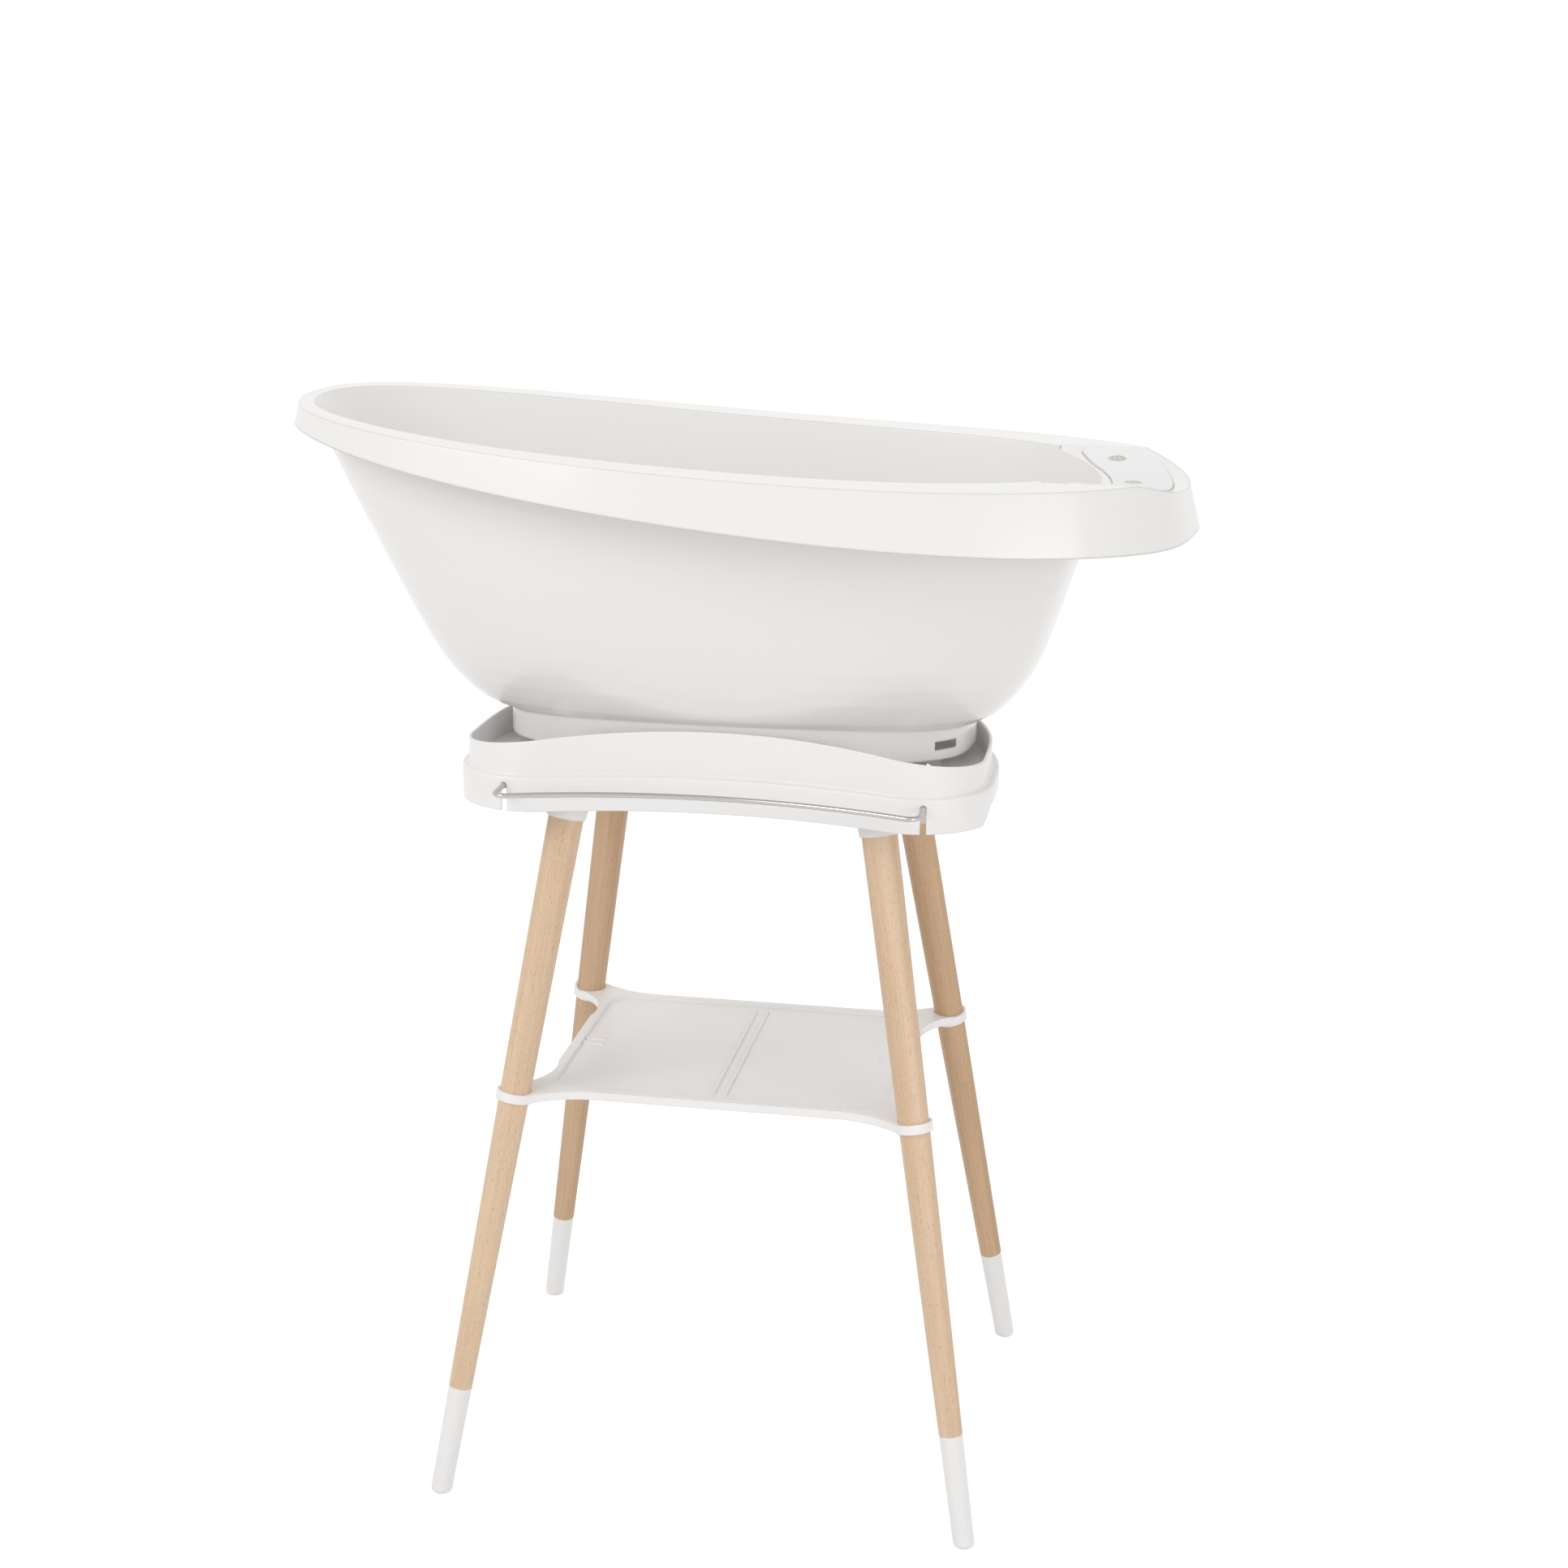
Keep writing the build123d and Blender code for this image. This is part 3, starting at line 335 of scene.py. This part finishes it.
def stretched_noise(label, stretch, scale, detail):
    mapping = beech.nodes.new("ShaderNodeVectorMath")
    mapping.operation = "MULTIPLY"
    mapping.inputs[1].default_value = (1, 1, stretch)
    noise = beech.nodes.new("ShaderNodeTexNoise")
    noise.inputs["Scale"].default_value = scale
    noise.inputs["Detail"].default_value = detail
    noise.label = label
    links.new(entry.outputs["Vector"], mapping.inputs[0])
    links.new(mapping.outputs[0], noise.inputs["Vector"])
    return noise


def span_of(source, limits):
    span = beech.nodes.new("ShaderNodeMapRange")
    for label, value in limits.items():
        span.inputs[label].default_value = value
    links.new(source, span.inputs["Value"])
    return span.outputs["Result"]


def blend_colours(share, first, second):
    mixer = beech.nodes.new("ShaderNodeMix")
    mixer.data_type = "RGBA"
    links.new(share, mixer.inputs["Factor"])
    links.new(first, mixer.inputs["A"])
    links.new(second, mixer.inputs["B"])
    return mixer.outputs["Result"]


bands = stretched_noise("growth bands", 0.035, 62.0, 2.0)
silk = stretched_noise("silky grain", 0.02, 620.0, 3.0)
flecks = stretched_noise("ray flecks", 0.2, 1100.0, 0.0)
band_share = span_of(bands.outputs["Fac"], {"From Min": 0.36, "From Max": 0.68})
silk_share = span_of(silk.outputs["Fac"], {"From Min": 0.30, "From Max": 0.75})
fleck_share = span_of(flecks.outputs["Fac"], {"From Min": 0.66, "From Max": 0.74})

# %% Colour, roughness and relief of the beech
silk_weight, band_weight, fleck_weight = 0.45, 0.6, 0.3
oiled_low, oiled_high = 0.38, 0.55

silk_part = calculation(beech, "MULTIPLY", [(1, silk_weight)])
links.new(silk_share, silk_part.inputs[0])
darkness = calculation(beech, "MULTIPLY_ADD", [(1, band_weight)])
links.new(band_share, darkness.inputs[0])
links.new(silk_part.outputs[0], darkness.inputs[2])
ground = blend_colours(darkness.outputs[0], entry.outputs["Pale"], entry.outputs["Dark"])
fleck_part = calculation(beech, "MULTIPLY", [(1, fleck_weight)])
links.new(fleck_share, fleck_part.inputs[0])
links.new(blend_colours(fleck_part.outputs[0], ground, entry.outputs["Fleck"]), leave.inputs["Colour"])
links.new(span_of(silk_share, {"To Min": oiled_low, "To Max": oiled_high}), leave.inputs["Roughness"])
links.new(silk.outputs["Fac"], leave.inputs["Height"])
print("group", beech.name, "has", len(beech.nodes), "nodes")

# %% How each leg leans
foot_x, foot_y = 0.2523, 0.2075
head_x, head_y, head_z = 0.1219, 0.0767, 0.8

sides = {"left": -1, "right": 1}
rows = {"front": -1, "back": 1}
leg_axis = {}
for side, side_sign in sides.items():
    for row, row_sign in rows.items():
        foot = Vector((side_sign * foot_x, row_sign * foot_y, 0))
        head = Vector((side_sign * head_x, row_sign * head_y, head_z))
        leg_axis["leg_" + row + "_" + side] = (head - foot).normalized()
        print("leg", row, side, "leans", tuple(round(v, 3) for v in (head - foot).normalized()))

# %% Beech materials, one turned to each leg
fleck_brown = (0.34, 0.19, 0.10, 1)


def beech_for(leg_name, shift, pale, dark):
    values = {"Pale": (*pale, 1), "Dark": (*dark, 1), "Fleck": fleck_brown}
    finish, shader, grain, _ = finish_from(
        "beech_" + leg_name, beech, values, ripple=0.12, ripple_depth=0.0003)
    tree = finish.node_tree
    where = tree.nodes.new("ShaderNodeTexCoord")
    mapping = tree.nodes.new("ShaderNodeMapping")
    turn = leg_axis[leg_name].rotation_difference(Vector((0, 0, 1)))
    mapping.inputs["Rotation"].default_value = turn.to_euler()
    mapping.inputs["Location"].default_value = shift
    tree.links.new(where.outputs["Object"], mapping.inputs["Vector"])
    tree.links.new(mapping.outputs[0], grain.inputs["Vector"])
    shader.inputs["IOR"].default_value = 1.45
    return finish


front_pale, front_dark = (0.78, 0.585, 0.41), (0.66, 0.455, 0.295)
leg_finish = {
    name: beech_for(name, shift, pale, dark) for name, shift, pale, dark in (
        ("leg_front_left", (0.11, 0.23, 0.0), front_pale, front_dark),
        ("leg_front_right", (0.47, 0.05, 0.3), front_pale, front_dark),
        # The two back legs get a darker beech than the front ones: this is painted shade, for the shade they
        # stand in behind and under the bath.
        ("leg_back_left", (0.83, 0.61, 0.7), (0.66, 0.455, 0.295), (0.51, 0.32, 0.185)),
        ("leg_back_right", (0.31, 0.92, 1.1), (0.66, 0.45, 0.285), (0.51, 0.315, 0.18)),
    )
}

# %% [markdown]
# ## Metals
# The towel rail is bent wire with a bright chrome finish, the screws are zinc plated, the inserts are brass
# and the plug's contacts are gold plated. Each takes the moulded skin's drift and fine ripple with its own
# colour and roughness, and is fully metallic.


# %% Metal materials
metal_drift = 0.05


def metal(name, colour, roughness, grain_size, ripple):
    values = {"Colour": (*colour, 1), "Drift": metal_drift, "Roughness": roughness, "Grain size": grain_size}
    finish, shader, _, _ = finish_from(name, moulded, values, ripple, ripple_depth=0.0001)
    shader.inputs["Metallic"].default_value = 1.0
    return finish


chrome = metal("rail_chrome", (0.50, 0.485, 0.475), 0.16, 300.0, 0.03)
zinc = metal("screw_zinc", (0.58, 0.58, 0.60), 0.32, 900.0, 0.1)
brass = metal("insert_brass", (0.72, 0.55, 0.26), 0.3, 900.0, 0.1)
gold = metal("contact_gold", (0.88, 0.62, 0.26), 0.24, 1500.0, 0.08)
cell_steel = metal("cell_steel", (0.52, 0.53, 0.55), 0.35, 700.0, 0.08)

# %% [markdown]
# ## Dressing the solids
# Each solid keeps its shape and takes its finish. The solid's own mesh is left alone, and only the material
# in its slots changes.

# %% Give each solid its finish
finish_of = {
    "tub": bath_white, "drain_seat": housing_grey, "tray": tray_white, "shelf": satin_white,
    "towel_rail": chrome, "hanger_bolts": zinc, "threaded_inserts": brass,
    "panel_cover": panel_white, "panel_housing": housing_grey, "panel_seal": seal_rubber,
    "panel_board": board_green, "battery_cells": cell_steel, "battery_door": housing_grey,
    "panel_screws": zinc, "indicator_lights": light_pipe,
    "power_button": panel_white, "start_button": panel_white, "reset_button": panel_white,
    "plug_body": plug_grey, "plug_face": plug_white, "plug_contacts": gold, "plug_seal": seal_rubber,
    "plug_board": board_green, "plug_cell": cell_steel,
}
for row in rows:
    for side in sides:
        finish_of["foot_cap_" + row + "_" + side] = cap_white
finish_of.update(leg_finish)
for name, piece in node.items():
    piece.data.materials.clear()
    piece.data.materials.append(finish_of[name])
    print(name, "is", finish_of[name].name)

# %% [markdown]
# ## Printed symbols
# Each button carries a round patch of warm grey ink, with its symbol left blank so that the white button
# shows through: a power sign, a timer ring with a water drop in it, and a tick. Three small signs lie on the
# indicator lights. A print could be painted by the material, but a thin layer of ink with real edges stays
# sharp from near by and keeps its place in the mesh. A flat 2D curve does it best, because an
# outline that lies inside another one becomes a hole by itself.


# %% Outlines for the ink
def ring(radius, steps=72):
    turns = [2 * math.pi * i / steps for i in range(steps)]
    return [(radius * math.cos(t), radius * math.sin(t)) for t in turns]


def arc_band(radius, width, first, last, steps=48):
    angles = [math.radians(first + (last - first) * i / steps) for i in range(steps + 1)]
    outside, inside = radius + width / 2, radius - width / 2
    there = [(outside * math.cos(t), outside * math.sin(t)) for t in angles]
    return there + [(inside * math.cos(t), inside * math.sin(t)) for t in reversed(angles)]


def stroke(points, width):
    # A pen line of one width, with mitred corners
    line = [Vector(p) for p in points]
    runs = [(after - before).normalized() for before, after in zip(line, line[1:])]
    left_edge, right_edge = [], []
    for here, run_in, run_out in zip(line, runs[:1] + runs, runs + runs[-1:]):
        along = (run_in + run_out).normalized()
        sideways = Vector((-along.y, along.x)) * (width / 2 / along.dot(run_in))
        left_edge.append(tuple(here + sideways))
        right_edge.append(tuple(here - sideways))
    return left_edge + right_edge[::-1]


def drop(size, steps=40):
    # A circle whose top is drawn out to a point
    slimness, point_sharpness = 0.62, 1.6
    turns = [2 * math.pi * i / steps for i in range(steps)]
    return [(size * slimness * math.sin(t) * math.sin(t / 2) ** point_sharpness, size * math.cos(t))
            for t in turns]


# %% The signs, in metres
patch_radius = 0.0072
power_radius, power_line = 0.0034, 0.00105
power_gap_end, power_gap_start = 122, 418
tick_line, arrow_line = 0.0012, 0.0007

power_sign = [
    ring(patch_radius), arc_band(power_radius, power_line, power_gap_end, power_gap_start),
    stroke([(0, 0.0046), (0, 0.0012)], power_line)]
timer_sign = [ring(patch_radius), ring(0.0038), ring(0.0026), drop(0.0016)]
tick_corners = [(-0.0012, 0.0042), (0.0026, 0.0002), (-0.0032, -0.0028)]
tick_sign = [ring(patch_radius), stroke(tick_corners, tick_line)]
arrow_sign = [stroke([(-0.0012, -0.0008), (0, 0.0008), (0.0012, -0.0008)], arrow_line)]
drop_sign = [drop(0.0014)]
ring_sign = [ring(0.0015, steps=40), ring(0.0007, steps=24)]
print("ink patches are", 2 * patch_radius, "m across")

# %% Where the ink lies
from mathutils.bvhtree import BVHTree

above = 0.1
flat_within = 2e-5
fewest_rim_points = 8


def seat_on(name, x, y, reach):
    # The middle of the flat top under this place, with the symbol's up towards the foot end
    mesh = node[name].data
    tree = BVHTree.FromPolygons([v.co for v in mesh.vertices], [p.vertices for p in mesh.polygons])
    place, lean, _, _ = tree.ray_cast(Vector((x, y, cad_box[1][2] + above)), Vector((0, 0, -1)))
    level = place.dot(lean)
    flat_top = [v.co for v in mesh.vertices
                if abs(v.co.dot(lean) - level) < flat_within and (v.co - place).length < reach]
    if len(flat_top) > fewest_rim_points:
        place = sum(flat_top, Vector()) / len(flat_top)
    forward = (Vector((1, 0, 0)) - lean * lean.x).normalized()
    sideways = forward.cross(lean)
    print("seat on", name, tuple(round(v, 4) for v in place), "leans", tuple(round(v, 3) for v in lean))
    return Matrix.Translation(place) @ Matrix((sideways, forward, lean)).transposed().to_4x4()


# %% One layer of ink
import bmesh

ink_thickness = 0.00008
ink_lift = 0.35 * ink_thickness         # its underside lies just inside the plastic
weld_within = 1e-6


def ink(name, outlines, seat, body):
    curve = bpy.data.curves.new(name + "_outline", "CURVE")
    curve.dimensions = "2D"
    curve.fill_mode = "BOTH"
    curve.extrude = ink_thickness / 2
    for outline in outlines:
        spline = curve.splines.new("POLY")
        spline.points.add(len(outline) - 1)
        for point, (u, v) in zip(spline.points, outline):
            point.co = (u, v, 0, 1)
        spline.use_cyclic_u = True
    pattern = bpy.data.objects.new(name + "_outline", curve)
    layer = bpy.data.meshes.new_from_object(pattern)
    bpy.data.objects.remove(pattern)
    layer.name = name
    solid = bmesh.new()
    solid.from_mesh(layer)
    bmesh.ops.remove_doubles(solid, verts=solid.verts, dist=weld_within)
    bmesh.ops.recalc_face_normals(solid, faces=solid.faces)
    solid.transform(seat @ Matrix.Translation((0, 0, ink_lift)))
    solid.to_mesh(layer)
    solid.free()
    layer.materials.clear()
    layer.materials.append(ink_taupe)
    piece = bpy.data.objects.new(name, layer)
    scene.collection.objects.link(piece)
    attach(piece, body)
    print(name, "has", len(layer.polygons), "faces")


# %% Lay down the ink
wing_x, wing_y, middle_x = 0.337, 0.085, 0.355
button_reach = 0.009
for name, sign, button, x, y in (
    ("power_ink", power_sign, "power_button", wing_x, wing_y),
    ("timer_ink", timer_sign, "start_button", middle_x, 0.0),
    ("tick_ink", tick_sign, "reset_button", wing_x, -wing_y),
):
    ink(name, sign, seat_on(button, x, y, button_reach), button)

light_x, light_y, light_spacing = 0.365, -0.041, 0.0056
light_reach = 0.002
for name, sign, step in (
    ("arrow_ink", arrow_sign, 1), ("drop_ink", drop_sign, 0), ("ring_ink", ring_sign, -1),
):
    seat = seat_on("indicator_lights", light_x + step * light_spacing, light_y, light_reach)
    ink(name, sign, seat, "panel")

# %% [markdown]
# ## Before the end
# The imported solids set the size of the whole.

# %% Finish
print("scene built")
